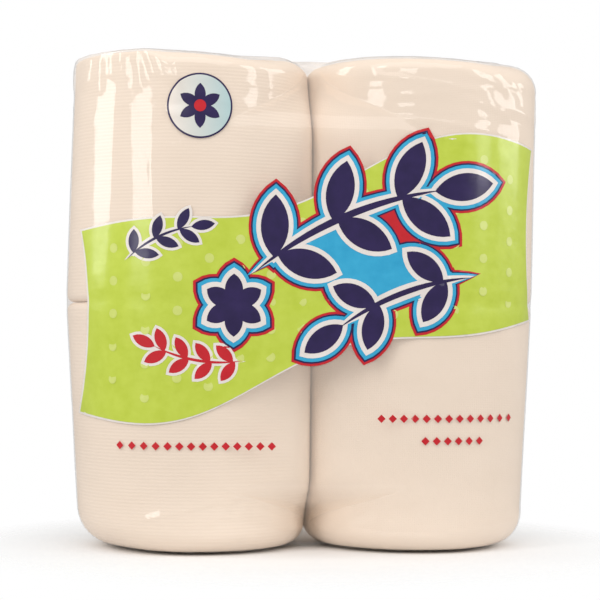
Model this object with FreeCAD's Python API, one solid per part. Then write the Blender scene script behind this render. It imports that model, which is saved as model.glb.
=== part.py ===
import FreeCAD, Part
import math
import os

# Four toilet rolls in a clear printed film pack, two columns of two, in millimetres.
# +Z is up, X runs along the two columns and the front faces -Y. The origin is under the
# middle of the pack, on the surface that it stands on.

# Rolls and cores
sheet_width = 99.8
left_width_top = 97.0
left_width_middle = 99.8
left_width_bottom = 93.6
right_width_top = 98.3
right_width_middle = 96.6
right_width_bottom = 91.6
roll_top_radius = 5.3
roll_joint_radius = 3.0
roll_bottom_radius = 8.3
core_outer_diameter = 42.0
core_wall = 0.7
roll_clearance = 0.3
press_share = 0.85
press_corner = 17.0
press_steps = 8

# Turns that show on the ends of a roll
turn_pitch = 2.4
turn_slot_width = 0.5
turn_slot_depth = 0.8
turn_margin = 2.2
tail_thickness = 0.2
tail_arc = 26.0
left_tail_angle = 250.0
right_tail_angle = 305.0

# Film
film_wall = 0.3
film_clearance = 0.4
top_clearance = 0.5
floor_clearance = 0.1
ear_radius = 1.0
ear_layer = 0.15
ear_start = 112.0
ear_end = 205.0
groove_open_angle = 80.0
groove_top_angle = 18.0
groove_bottom_angle = 10.0
groove_top_reach = 30.0
groove_bottom_reach = 26.0
groove_steps = 5
rim_steps = 4

# Folded flaps, lap seam and creases of the film
fold_layer = 0.3
fold_margin = 2.0
side_flap_length = 46.0
side_flap_root_share = 0.7
side_flap_tip_share = 0.25
long_flap_overlap = 7.0
long_flap_slant = 34.0
lap_width = 16.0
lap_offset = 24.0
crease_height = 0.7
pleat_count = 4
pleat_pitch = 7.0
pleat_start = 9.0
pleat_lean = 3.5
pleat_length = 12.0
pleat_growth = 1.5
pleat_width = 2.4
crumple_width = 3.2
crumple_lines = (
    ((-36.0, -12.0), (-21.0, -10.0)),
    ((-36.0, -14.5), (-27.0, -29.0)),
    ((-20.5, -12.0), (-13.5, -26.0)),
    ((-26.0, -27.0), (-16.0, -23.0)),
)

# Print
ink = 0.3
ink_clearance = 0.15
edge_white = 1.9
edge_cyan = 3.3
edge_red = 4.9
small_edge = 1.1
tip_reach = 1.3
leaf_root_share = 0.12
leaf_stagger_share = 0.02
print_depth = 70.0
band_left = -93.5
band_right = 92.5
band_height = 72.0
band_middle = 112.0
band_rise = 42.0
band_wave = 5.0
dot_spacing = 12.0
dot_radius = 1.9
dot_stagger = 0.25
mark_pitch = 4.6
mark_half = 1.7
badge_x = -48.0
badge_z = 179.0
badge_radius = 13.0
badge_ring = 0.7
badge_petal_length = 9.0
badge_petal_half_width = 2.2
badge_heart_radius = 2.4
print_floor = 34.0
print_top = 172.5
print_wrap_angle = 162.0
print_column_steps = 10
print_bridge_steps = 6
print_rows = 16
badge_margin = 3.0
badge_rows = 10

# Heights and widths that follow from the values above
base_height = 3 * fold_layer
roll_floor = base_height + film_wall + floor_clearance
roll_joint = roll_floor + sheet_width + roll_clearance
roll_top = roll_joint + sheet_width
film_top = roll_top + top_clearance + film_wall
film_offset = film_clearance + film_wall
film_top_radius = roll_top_radius + film_offset
film_bottom_radius = roll_bottom_radius + film_offset
left_reach = roll_clearance / 2 + left_width_middle + film_offset
right_reach = roll_clearance / 2 + max(right_width_top, right_width_middle) + film_offset
groove_x = (left_reach - right_reach) / 2
middle_height = (roll_joint + roll_floor + sheet_width) / 2


def vector(x, y, z):
    return FreeCAD.Vector(x, y, z)


def blend(low, high, value):
    share = min(max((value - low) / (high - low), 0.0), 1.0)
    return share * share * (3 - 2 * share)


def between(value, low, high, at_low, at_high):
    return at_low + (at_high - at_low) * (value - low) / (high - low)


def column_width(side, z):
    # The rolls are pressed narrower towards the ends of the pack.
    if side < 0:
        top, middle, bottom = left_width_top, left_width_middle, left_width_bottom
    else:
        top, middle, bottom = right_width_top, right_width_middle, right_width_bottom
    if z < middle_height:
        return between(z, roll_floor, middle_height, bottom, middle)
    return between(z, middle_height, roll_top, middle, top)


def column_middle(side, z):
    return groove_x + side * (roll_clearance + column_width(side, z)) / 2


def attach_angle(z):
    # Where the film leaves a column to cross the groove, counted from the line between the
    # columns. Halfway up it runs nearly straight across, and both ends are pulled in.
    top_start = film_top - groove_top_reach
    top_end = film_top - film_top_radius
    bottom_start = base_height + groove_bottom_reach
    bottom_end = base_height + film_bottom_radius
    if z > top_start:
        return between(min(z, top_end), top_start, top_end, groove_open_angle, groove_top_angle)
    if z < bottom_start:
        return between(
            max(z, bottom_end), bottom_start, bottom_end, groove_open_angle, groove_bottom_angle
        )
    return groove_open_angle


def ring(side, z, radius):
    # A soft roll is pressed flat against its neighbour: it leaves its circle along two tangents,
    # turns a round corner and has a flat where the two rolls meet.
    middle = column_middle(side, z)
    leave = press_share * attach_angle(z)
    reach = radius * math.tan(math.radians(leave / 2))
    half = math.radians((180 - leave) / 2)
    length = press_corner / math.tan(half)
    points = {}
    for angle in (leave, (leave + 90) / 2, 90, 135, 180, 225, 270, (630 - leave) / 2, 360 - leave):
        turn = math.radians(angle)
        points[angle] = vector(middle - side * radius * math.cos(turn), -radius * math.sin(turn), z)
    stops = (leave, 90, 180, 270, 360 - leave)
    halfway = ((leave + 90) / 2, 135, 225, (630 - leave) / 2)
    edges = []
    for index in range(4):
        first, last = points[stops[index]], points[stops[index + 1]]
        edges.append(Part.Arc(first, points[halfway[index]], last).toShape())
    corners = []
    for facing in (1, -1):
        tip = vector(middle - side * radius, facing * reach, z)
        start = points[360 - leave] if facing > 0 else points[leave]
        first = tip + (start - tip) * (length / reach)
        last = vector(tip.x, facing * (reach - length), z)
        toward = (first + last) * 0.5 - tip
        bulge = tip + toward * ((press_corner / math.sin(half) - press_corner) / toward.Length)
        corners.append((start, first, bulge, last))
    start, first, bulge, last = corners[0]
    edges.append(Part.makeLine(start, first))
    edges.append(Part.Arc(first, bulge, last).toShape())
    start, first, bulge, far = corners[1]
    edges.append(Part.makeLine(last, far))
    edges.append(Part.Arc(far, bulge, first).toShape())
    edges.append(Part.makeLine(first, start))
    return Part.Wire(edges)


# One roll: its outer turn follows the column. Its edges are softest at the ends of the pack.
def roll_solid(side, floor, low_radius, high_radius, grow):
    rings = []
    top = floor + sheet_width
    for step in range(rim_steps + 1):
        turn = math.radians(90 * step / rim_steps)
        z = floor + low_radius * (1 - math.cos(turn))
        inset = low_radius * (1 - math.sin(turn))
        rings.append(ring(side, z, column_width(side, z) / 2 - inset + grow))
    straight = sheet_width - low_radius - high_radius
    for step in range(1, press_steps):
        z = floor + low_radius + straight * step / press_steps
        rings.append(ring(side, z, column_width(side, z) / 2 + grow))
    for step in range(rim_steps + 1):
        turn = math.radians(90 * step / rim_steps)
        z = top - high_radius * (1 - math.sin(turn))
        inset = high_radius * (1 - math.cos(turn))
        rings.append(ring(side, z, column_width(side, z) / 2 - inset + grow))
    return Part.makeLoft(rings, True, True)


def spiral_slot(x, z, outer_radius, depth):
    start = core_outer_diameter / 2 + turn_margin
    turns = int((outer_radius - turn_margin - start) / turn_pitch)
    steps = turns * 20
    lines = []
    for widen in (0.0, turn_slot_width):
        points = []
        for step in range(steps + 1):
            turn = 2 * math.pi * turns * step / steps
            radius = start + turn_pitch * turns * step / steps + widen
            points.append(vector(x + radius * math.cos(turn), radius * math.sin(turn), z))
        curve = Part.BSplineCurve()
        curve.interpolate(points)
        lines.append(curve.toShape())
    inner, outer = lines
    ends = [
        Part.makeLine(inner.Vertexes[0].Point, outer.Vertexes[0].Point),
        Part.makeLine(inner.Vertexes[-1].Point, outer.Vertexes[-1].Point),
    ]
    outline = Part.Wire(Part.__sortEdges__([inner, ends[1], outer, ends[0]]))
    return Part.Face(outline).extrude(vector(0, 0, depth))


def tail_sector(side, floor, low_radius, high_radius, angle):
    # The outer sheet's tail lies on the straight part of the roll as a thin step.
    height = sheet_width - low_radius - high_radius
    base = vector(column_middle(side, floor + sheet_width / 2), 0, floor + low_radius)
    sector = Part.makeCylinder(left_width_middle, height, base, vector(0, 0, 1), tail_arc)
    sector.rotate(base, vector(0, 0, 1), angle)
    return sector


def roll_with_turns(side, floor, low_radius, high_radius, tail_angle):
    top = floor + sheet_width
    roll = roll_solid(side, floor, low_radius, high_radius, 0.0)
    tail = roll_solid(side, floor, low_radius, high_radius, tail_thickness)
    roll = roll.fuse(tail.common(tail_sector(side, floor, low_radius, high_radius, tail_angle)))
    base = vector(column_middle(side, floor + sheet_width / 2), 0, floor)
    roll = roll.cut(Part.makeCylinder(core_outer_diameter / 2, sheet_width, base))
    for z, depth, radius in ((floor, turn_slot_depth, low_radius), (top, -turn_slot_depth, high_radius)):
        flat_radius = column_width(side, z) / 2 - radius
        roll = roll.cut(spiral_slot(column_middle(side, z), z, flat_radius, depth))
    return roll


def core_solid(side, floor):
    x = column_middle(side, floor + sheet_width / 2)
    radius = core_outer_diameter / 2
    outer = Part.makeCylinder(radius, sheet_width, vector(x, 0, floor))
    return outer.cut(Part.makeCylinder(radius - core_wall, sheet_width, vector(x, 0, floor)))


# The film: closed outlines round both columns at many heights, joined into one body.
def film_outline(z, inset, grow):
    # For each column, the arcs meet at the front, at the outer side and at the back.
    points = {}
    attach = attach_angle(z)
    for side in (-1, 1):
        middle = column_middle(side, z)
        radius = column_width(side, z) / 2 + film_offset + grow - inset
        for angle in (attach, (attach + 90) / 2, 90, 135, 180, 225, 270, (630 - attach) / 2, 360 - attach):
            turn = math.radians(angle)
            points[side, angle] = vector(
                middle - side * radius * math.cos(turn), -radius * math.sin(turn), z
            )
    stops = (attach, 90, 180, 270, 360 - attach)
    halfway = ((attach + 90) / 2, 135, 225, (630 - attach) / 2)
    edges = []
    for index in range(4):
        first, last = points[-1, stops[index]], points[-1, stops[index + 1]]
        edges.append(Part.Arc(first, points[-1, halfway[index]], last).toShape())
    edges.append(Part.makeLine(points[-1, stops[4]], points[1, stops[4]]))
    for index in (3, 2, 1, 0):
        first, last = points[1, stops[index + 1]], points[1, stops[index]]
        edges.append(Part.Arc(first, points[1, halfway[index]], last).toShape())
    edges.append(Part.makeLine(points[1, attach], points[-1, attach]))
    return Part.Wire(edges)


def film_body(grow, top_radius=film_top_radius):
    floor = base_height - grow
    top = film_top + grow
    bottom_edge = film_bottom_radius + grow
    top_edge = top_radius + grow
    outlines = []
    for step in range(rim_steps):
        turn = math.radians(90 * step / rim_steps)
        z = floor + bottom_edge * (1 - math.cos(turn))
        outlines.append(film_outline(z, bottom_edge * (1 - math.sin(turn)), grow))
    low = base_height + film_bottom_radius
    for step in range(groove_steps + 1):
        z = low + (groove_bottom_reach - film_bottom_radius) * step / groove_steps
        outlines.append(film_outline(z, 0.0, grow))
    outlines.append(film_outline(middle_height, 0.0, grow))
    for step in range(groove_steps + 1):
        z = film_top - groove_top_reach
        z += (groove_top_reach - film_top_radius) * step / groove_steps
        outlines.append(film_outline(z, 0.0, grow))
    for step in range(1, rim_steps + 1):
        turn = math.radians(90 * step / rim_steps)
        z = top - top_edge * (1 - math.sin(turn))
        outlines.append(film_outline(z, top_edge * (1 - math.cos(turn)), grow))
    return Part.makeLoft(outlines, True, True)


def flat_plate(corners, z, height):
    points = [vector(x, y, z) for x, y in corners]
    return Part.Face(Part.makePolygon(points + points[:1])).extrude(vector(0, 0, height))


def folded_end(z, direction, edge_radius):
    # Side flaps fold in first, then the back flap, then the front flap over it.
    edge = Part.Face(film_outline(z, edge_radius + fold_margin, 0.0))
    edge = edge.extrude(vector(0, 0, direction * 3 * fold_layer))
    left = column_middle(-1, z) - column_width(-1, z) / 2
    right = column_middle(1, z) + column_width(1, z) / 2
    half = left_width_middle / 2
    plates = []
    for x, inward in ((left, 1), (right, -1)):
        corners = (
            (x, -half * side_flap_root_share),
            (x + inward * side_flap_length, -half * side_flap_tip_share),
            (x + inward * side_flap_length, half * side_flap_tip_share),
            (x, half * side_flap_root_share),
        )
        plates.append(flat_plate(corners, z, direction * fold_layer))
    for facing, layers in ((1, 2), (-1, 3)):
        inner = -facing * long_flap_overlap
        corners = (
            (left, facing * half),
            (left + long_flap_slant, inner),
            (right - long_flap_slant, inner),
            (right, facing * half),
        )
        plates.append(flat_plate(corners, z, direction * fold_layer * layers))
    return [plate.common(edge) for plate in plates]


def lap_seam():
    # One long edge of the film laps over the other down the back.
    x = column_middle(-1, middle_height) + lap_offset
    floor = base_height + film_bottom_radius
    height = film_top - film_top_radius - floor
    strip = Part.makeBox(lap_width, left_width_middle, height, vector(x, 0, floor))
    return film_body(fold_layer).common(strip)


def ear_body(grow):
    # At the upper left the folded end stands up to a sharp edge instead of a soft one.
    x = column_middle(-1, film_top)
    reach = left_width_middle
    corners = [(x, 0)]
    for share in (0.0, 0.5, 1.0):
        turn = math.radians(ear_start + (ear_end - ear_start) * share)
        corners.append((x + reach * math.cos(turn), -reach * math.sin(turn)))
    floor = film_top - 1.5 * film_top_radius
    return film_body(grow, ear_radius).common(flat_plate(corners, floor, 2 * film_top_radius))


def front_depth(x, z):
    attach = math.radians(attach_angle(z))
    depths = []
    for side in (-1, 1):
        middle = column_middle(side, z)
        radius = column_width(side, z) / 2 + film_offset
        leave = middle - side * radius * math.cos(attach)
        if side * (x - leave) >= 0:
            return math.sqrt(max(radius ** 2 - (x - middle) ** 2, 0.0))
        depths.append((leave, radius * math.sin(attach)))
    return between(x, depths[0][0], depths[1][0], depths[0][1], depths[1][1])


def crease(start, end, width):
    # A slim ridge of film between two points of the front, highest at its middle.
    middle = ((start[0] + end[0]) / 2, (start[1] + end[1]) / 2)
    length = math.dist(start, end)
    across = (-(end[1] - start[1]) / length * width / 2, (end[0] - start[0]) / length * width / 2)
    sides = [(middle[0] + sign * across[0], middle[1] + sign * across[1]) for sign in (-1, 1)]
    rim = []
    for x, z in (start, sides[0], end, sides[1]):
        rim.append(vector(x, -front_depth(x, z) + film_wall / 2, z))
    crest = vector(middle[0], -front_depth(*middle) - crease_height, middle[1])
    foot = vector(middle[0], -front_depth(*middle) + 4 * film_wall, middle[1])
    faces = []
    for index in range(4):
        first, second = rim[index], rim[(index + 1) % 4]
        faces.append(Part.Face(Part.makePolygon([first, second, crest, first])))
        faces.append(Part.Face(Part.makePolygon([first, second, foot, first])))
    solid = Part.makeSolid(Part.makeShell(faces))
    if solid.Volume < 0:
        solid.reverse()
    return solid


def film_creases():
    # Pleats run down from the upper left edge, and the upper right shoulder is crumpled.
    ridges = []
    corner = (column_middle(-1, film_top) - left_width_top / 2, film_top - 1.6 * film_top_radius)
    shoulder = (column_middle(1, film_top) + right_width_top / 2, film_top)
    for step in range(pleat_count):
        tip = (corner[0] + pleat_start + pleat_pitch * step, corner[1])
        foot = (tip[0] - pleat_lean, tip[1] - pleat_length - pleat_growth * step)
        ridges.append(crease(foot, tip, pleat_width))
    for start, end in crumple_lines:
        first = (shoulder[0] + start[0], shoulder[1] + start[1])
        last = (shoulder[0] + end[0], shoulder[1] + end[1])
        ridges.append(crease(first, last, crumple_width))
    return ridges


# Print shapes are flat outlines seen from the front, laid on the film.
def flat_point(x, z):
    return vector(x, 0, z)


def leaf(base, angle, length, half_width, grow):
    along = (math.cos(math.radians(angle)), math.sin(math.radians(angle)))
    reach = tip_reach * grow
    start = (base[0] - along[0] * reach, base[1] - along[1] * reach)
    end = (base[0] + along[0] * (length + reach), base[1] + along[1] * (length + reach))
    middle = ((start[0] + end[0]) / 2, (start[1] + end[1]) / 2)
    wide = half_width + grow
    arcs = []
    for sign in (1, -1):
        bulge = flat_point(middle[0] - sign * along[1] * wide, middle[1] + sign * along[0] * wide)
        arcs.append(Part.Arc(flat_point(*start), bulge, flat_point(*end)).toShape())
    return Part.Face(Part.Wire([arcs[0], arcs[1]]))


def stem(start, end, bend, thickness, grow):
    length = math.dist(start, end)
    along = ((end[0] - start[0]) / length, (end[1] - start[1]) / length)
    first = flat_point(start[0] - along[0] * grow, start[1] - along[1] * grow)
    last = flat_point(end[0] + along[0] * grow, end[1] + along[1] * grow)
    arcs = []
    for side in (1, -1):
        offset = bend + side * (thickness / 2 + grow)
        bulge = flat_point(
            (start[0] + end[0]) / 2 - along[1] * offset, (start[1] + end[1]) / 2 + along[0] * offset
        )
        arcs.append(Part.Arc(first, bulge, last).toShape())
    return Part.Face(Part.Wire([arcs[0], arcs[1]]))


def disc(x, z, radius):
    return Part.Face(Part.Wire(Part.makeCircle(radius, flat_point(x, z), vector(0, -1, 0))))


def join(shapes):
    joined = shapes[0].multiFuse(shapes[1:]) if len(shapes) > 1 else shapes[0]
    return joined.removeSplitter()


def sprig(start, end, bend, pairs, leaf_length, leaf_half_width, spread, grow):
    # A stem with pairs of leaves and one leaf at its tip.
    length = math.dist(start, end)
    heading = math.degrees(math.atan2(end[1] - start[1], end[0] - start[0]))
    along = ((end[0] - start[0]) / length, (end[1] - start[1]) / length)
    shapes = [stem(start, end, bend, leaf_half_width / 2, grow)]
    leaves = [(1 - leaf_root_share * leaf_length / length, 0)]
    for pair in range(pairs):
        share = (pair + 0.35) / pairs
        leaves += [(share, 1), (share + leaf_stagger_share, -1)]
    for share, sign in leaves:
        offset = 4 * bend * share * (1 - share)
        turn = math.degrees(math.atan(4 * bend * (1 - 2 * share) / length))
        base = (
            start[0] + along[0] * length * share - along[1] * offset,
            start[1] + along[1] * length * share + along[0] * offset,
        )
        shapes.append(leaf(base, heading + turn + sign * spread, leaf_length, leaf_half_width, grow))
    return join(shapes)


def blossom(x, z, petals, petal_length, petal_half_width, grow):
    shapes = [disc(x, z, petal_half_width + grow)]
    for petal in range(petals):
        shapes.append(leaf((x, z), 90 + 360 * petal / petals, petal_length, petal_half_width, grow))
    return join(shapes)


def large_ornaments(grow):
    return [
        sprig((-26.0, 113.0), (50.0, 147.0), 6.0, 3, 25.0, 5.6, 52.0, grow),
        sprig((62.0, 112.0), (8.0, 91.0), -4.0, 2, 19.0, 4.4, 50.0, grow),
        blossom(-34.0, 100.0, 6, 12.5, 3.6, grow),
    ]


def small_navy_ornament(grow):
    return sprig((-76.0, 118.0), (-50.0, 131.0), 2.5, 3, 9.5, 2.0, 48.0, grow)


def small_red_ornament(grow):
    return sprig((-30.0, 78.0), (-66.0, 84.0), 3.0, 4, 9.5, 2.2, 48.0, grow)


def band_edge(share, upper):
    # The green band climbs from left to right between two slow waves.
    x = band_left + (band_right - band_left) * share
    rise = band_rise * (blend(0.0, 1.0, share) - 0.5)
    wave = band_wave * math.sin(2 * math.pi * (1.5 * share + (0.1 if upper else 0.45)))
    half = band_height / 2 if upper else -band_height / 2
    return flat_point(x, band_middle + rise + half + wave)


def green_band():
    count = 12
    upper = Part.BSplineCurve()
    upper.interpolate([band_edge(step / count, True) for step in range(count + 1)])
    lower = Part.BSplineCurve()
    lower.interpolate([band_edge(step / count, False) for step in range(count + 1)])
    sides = []
    for share, bulge in ((0.0, 3.0), (1.0, -3.0)):
        high = band_edge(share, True)
        low = band_edge(share, False)
        middle = flat_point((high.x + low.x) / 2 + bulge, (high.z + low.z) / 2)
        sides.append(Part.Arc(high, middle, low).toShape())
    edges = [upper.toShape(), sides[1], lower.toShape(), sides[0]]
    return Part.Face(Part.Wire(Part.__sortEdges__(edges)))


def band_dots():
    dots = []
    columns = int((band_right - band_left) / dot_spacing)
    rows = int(band_height / dot_spacing)
    for column in range(1, columns):
        share = column / columns
        low = band_edge(share, False)
        high = band_edge(share, True)
        for row in range(1, rows):
            step = (row + (dot_stagger if column % 2 else -dot_stagger)) / rows
            dots.append(disc(low.x, low.z + (high.z - low.z) * step, dot_radius))
    return Part.Compound(dots)


def diamond_row(start_x, z, count):
    marks = []
    for index in range(count):
        x = start_x + index * mark_pitch
        corners = [(x - mark_half, z), (x, z + mark_half), (x + mark_half, z), (x, z - mark_half)]
        points = [flat_point(*corner) for corner in corners]
        marks.append(Part.Face(Part.makePolygon(points + points[:1])))
    return marks


def without(shape, holes):
    for hole in holes:
        shape = shape.cut(hole)
    return shape


def outline_areas(wide, narrow):
    return [outer.cut(inner) for outer, inner in zip(wide, narrow)]


def print_areas():
    solid = large_ornaments(0.0)
    white = large_ornaments(edge_white)
    cyan = large_ornaments(edge_cyan)
    red = large_ornaments(edge_red)
    small_navy = small_navy_ornament(0.0)
    small_red = small_red_ornament(0.0)
    small_edges = [small_navy_ornament(small_edge), small_red_ornament(small_edge)]
    badge_flower = blossom(badge_x, badge_z, 6, badge_petal_length, badge_petal_half_width, 0.0)
    badge_heart = disc(badge_x, badge_z, badge_heart_radius)
    badge_face = disc(badge_x, badge_z, badge_radius - badge_ring)
    marks = diamond_row(-78.0, 44.0, 14) + diamond_row(26.0, 55.0, 13) + diamond_row(44.0, 46.0, 6)
    field = without(green_band(), red + small_edges)
    dots = band_dots().common(field)
    return {
        "print_green": [field.cut(dots)],
        "print_pale_green": [dots],
        "print_white": outline_areas(white, solid) + outline_areas(small_edges, [small_navy, small_red]),
        "print_cyan": outline_areas(cyan, white),
        "print_red": outline_areas(red, cyan) + [small_red, badge_heart] + marks,
        "print_navy": solid
        + [small_navy, disc(badge_x, badge_z, badge_radius).cut(badge_face), badge_flower.cut(badge_heart)],
        "print_pale_blue": [without(badge_face, [badge_flower, badge_heart])],
    }


def print_row(z):
    # Points across the front at one height, from column side to column side.
    attach = groove_open_angle
    row = []
    for side in (-1, 1):
        middle = column_middle(side, z)
        radius = column_width(side, z) / 2 + film_offset
        reach = []
        for step in range(print_column_steps + 1):
            angle = math.radians(attach + (print_wrap_angle - attach) * step / print_column_steps)
            reach.append(middle - side * radius * math.cos(angle))
        row.append(reach)
    left = row[0][::-1]
    right = row[1]
    across = [
        between(step, 0, print_bridge_steps, left[-1], right[0]) for step in range(1, print_bridge_steps)
    ]
    return [vector(x, -front_depth(x, z) - ink_clearance, z) for x in left + across + right]


def badge_row(z):
    # Points across the badge at one height, at the same x in every row.
    reach = badge_radius + badge_margin
    row = []
    for step in range(badge_rows + 1):
        x = between(step, 0, badge_rows, badge_x - reach, badge_x + reach)
        row.append(vector(x, -front_depth(x, z) - ink_clearance, z))
    return row


def slab_through(rows):
    surface = Part.BSplineSurface()
    surface.interpolate(rows)
    return surface.toShape().extrude(vector(0, -ink, 0))


def ink_slab():
    # Up to the top crease, where the film crosses the groove at one angle
    return slab_through(
        [print_row(between(step, 0, print_rows, print_floor, print_top)) for step in range(print_rows + 1)]
    )


def badge_slab():
    # Higher up the film draws in towards the groove, so the badge has a slab of its own.
    low = badge_z - badge_radius - badge_margin
    high = badge_z + badge_radius + badge_margin
    return slab_through(
        [badge_row(between(step, 0, badge_rows, low, high)) for step in range(badge_rows + 1)]
    )


def on_badge(face):
    place = face.CenterOfMass
    return math.hypot(place.x - badge_x, place.z - badge_z) < badge_radius


def on_film(areas, front, badge):
    pieces = []
    for area in areas:
        for face in area.Faces:
            slab = badge if on_badge(face) else front
            pieces.append(face.extrude(vector(0, -print_depth, 0)).common(slab))
    return Part.Compound(pieces)


def save(shape, node):
    shape.exportStep("parts/" + node + ".step")
    print(node, len(shape.Solids), round(shape.Volume, 1), shape.isValid())


os.makedirs("parts", exist_ok=True)

outer_body = film_body(0.0)
additions = folded_end(film_top, 1, film_top_radius) + folded_end(base_height, -1, film_bottom_radius)
additions += [lap_seam(), ear_body(ear_layer)] + film_creases()
film = outer_body.multiFuse(additions).cut([film_body(-film_wall), ear_body(-film_wall)])
save(film, "film_wrap")

levels = (
    ("lower", roll_floor, roll_bottom_radius, roll_joint_radius),
    ("upper", roll_joint, roll_joint_radius, roll_top_radius),
)
for level, floor, low_radius, high_radius in levels:
    for place, side, tail_angle in (("left", -1, left_tail_angle), ("right", 1, right_tail_angle)):
        roll = roll_with_turns(side, floor, low_radius, high_radius, tail_angle)
        save(roll, "roll_" + level + "_" + place)
        save(core_solid(side, floor), "core_" + level + "_" + place)

front = ink_slab()
badge = badge_slab()
for node, areas in print_areas().items():
    save(on_film(areas, front, badge), node)
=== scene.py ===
import bmesh
import bpy
import math
import numpy as np
from mathutils import Matrix, Vector
from mathutils.geometry import delaunay_2d_cdt


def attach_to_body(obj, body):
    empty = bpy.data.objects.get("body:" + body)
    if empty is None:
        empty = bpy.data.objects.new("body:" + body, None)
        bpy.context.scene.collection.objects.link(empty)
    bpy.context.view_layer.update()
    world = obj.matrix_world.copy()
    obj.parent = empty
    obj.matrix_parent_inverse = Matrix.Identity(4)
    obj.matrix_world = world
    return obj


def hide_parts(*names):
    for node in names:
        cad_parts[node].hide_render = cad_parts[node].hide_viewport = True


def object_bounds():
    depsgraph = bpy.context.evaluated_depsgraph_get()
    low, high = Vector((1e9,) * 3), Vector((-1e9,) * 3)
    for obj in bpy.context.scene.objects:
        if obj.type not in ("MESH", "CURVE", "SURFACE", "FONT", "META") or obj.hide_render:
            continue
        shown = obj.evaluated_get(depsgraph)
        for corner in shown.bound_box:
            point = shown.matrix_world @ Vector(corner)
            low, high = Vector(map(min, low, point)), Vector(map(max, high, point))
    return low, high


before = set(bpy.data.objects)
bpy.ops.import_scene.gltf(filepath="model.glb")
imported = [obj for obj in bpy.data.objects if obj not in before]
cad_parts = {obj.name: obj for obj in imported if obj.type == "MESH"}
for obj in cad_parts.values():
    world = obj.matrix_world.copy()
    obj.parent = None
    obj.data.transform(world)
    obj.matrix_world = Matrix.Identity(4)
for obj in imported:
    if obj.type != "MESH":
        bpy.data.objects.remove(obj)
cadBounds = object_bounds()
collection = bpy.context.scene.collection

# Shapes are worked out in millimetres, as in the CAD part, and meshes are made in metres.
mm = 0.001
grooveX = 0.75
rollGap = 0.3
rollFloor = 1.3
rollHeight = 99.8
rollJoint = 101.4
rollTop = 201.2
middleHeight = 101.25
columnWidths = {-1: (93.6, 99.8, 97.0), 1: (91.6, 96.6, 98.3)}
filmOffset = 0.45
filmTop = 202.0
filmBase = 0.9
foldLayer = 0.3


# ---- Shared helpers ----

def hexToLinear(code):
    channels = [int(code[i:i + 2], 16) / 255 for i in (0, 2, 4)]
    return [c / 12.92 if c <= 0.04045 else ((c + 0.055) / 1.055) ** 2.4 for c in channels] + [1.0]


def addNode(tree, kind, settings=None, links=None):
    # links: input name or index -> output socket, or a plain value
    node = tree.nodes.new(kind)
    for name, value in (settings or {}).items():
        setattr(node, name, value)
    for name, value in (links or {}).items():
        if isinstance(value, bpy.types.NodeSocket):
            tree.links.new(value, node.inputs[name])
        else:
            node.inputs[name].default_value = value
    return node


def newMaterial(name, shaderValues):
    material = bpy.data.materials.new(name)
    material.use_nodes = True
    tree = material.node_tree
    shader = tree.nodes["Principled BSDF"]
    for socket, value in shaderValues.items():
        shader.inputs[socket].default_value = value
    place = addNode(tree, "ShaderNodeTexCoord").outputs["Object"]
    return material, tree, shader, place


def stretch(tree, place, x, y, z):
    # Pattern space: one unit is x, y or z millimetres.
    return addNode(tree, "ShaderNodeMapping", {}, {
        "Vector": place, "Scale": (1000 / x, 1000 / y, 1000 / z)}).outputs["Vector"]


def noiseOf(tree, place, detail=2.0, roughness=0.5):
    return addNode(tree, "ShaderNodeTexNoise", {}, {
        "Vector": place, "Scale": 1.0, "Detail": detail, "Roughness": roughness}).outputs["Fac"]


def remap(tree, value, fromLow, fromHigh, toLow, toHigh):
    return addNode(tree, "ShaderNodeMapRange", {}, {
        "Value": value, "From Min": fromLow, "From Max": fromHigh,
        "To Min": toLow, "To Max": toHigh}).outputs["Result"]


def calculate(tree, operation, first, second=0.0):
    return addNode(tree, "ShaderNodeMath", {"operation": operation}, {0: first, 1: second}).outputs[0]


def mixColours(tree, factor, first, second):
    node = addNode(tree, "ShaderNodeMix", {"data_type": "RGBA"})
    for index, value in ((0, factor), (6, first), (7, second)):
        if isinstance(value, bpy.types.NodeSocket):
            tree.links.new(value, node.inputs[index])
        else:
            node.inputs[index].default_value = value
    return node.outputs[2]


def bump(tree, height, distance, strength=1.0, under=None):
    links = {"Height": height, "Distance": distance * mm, "Strength": strength}
    if under:
        links["Normal"] = under
    return addNode(tree, "ShaderNodeBump", {}, links).outputs["Normal"]


def makeMesh(name, points, faces, material, smooth=True):
    mesh = bpy.data.meshes.new(name)
    mesh.from_pydata([tuple(p) for p in np.asarray(points) * mm], [], faces)
    mesh.update()
    mesh.materials.append(material)
    if smooth:
        mesh.shade_smooth()
    piece = bpy.data.objects.new(name, mesh)
    collection.objects.link(piece)
    return piece


def finishPiece(piece, slot, *nodes):
    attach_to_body(piece, "root")
    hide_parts(*nodes)


def smoothStep(low, high, value):
    share = np.clip((value - low) / (high - low), 0.0, 1.0)
    return share * share * (3 - 2 * share)


def columnWidth(side, z):
    return np.interp(z, (rollFloor, middleHeight, rollTop), columnWidths[side])


def columnMiddle(side, z):
    return grooveX + side * (rollGap + columnWidth(side, z)) / 2


def attachAngle(z):
    # Where the film leaves a column to cross the groove, in degrees from the line between columns
    return 10.0 + 70.0 * smoothStep(7.0, 30.0, z) - 62.0 * smoothStep(168.0, 201.0, z)


# ---- Wrinkles: how far the film stands off its plain outline, in mm ----

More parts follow.
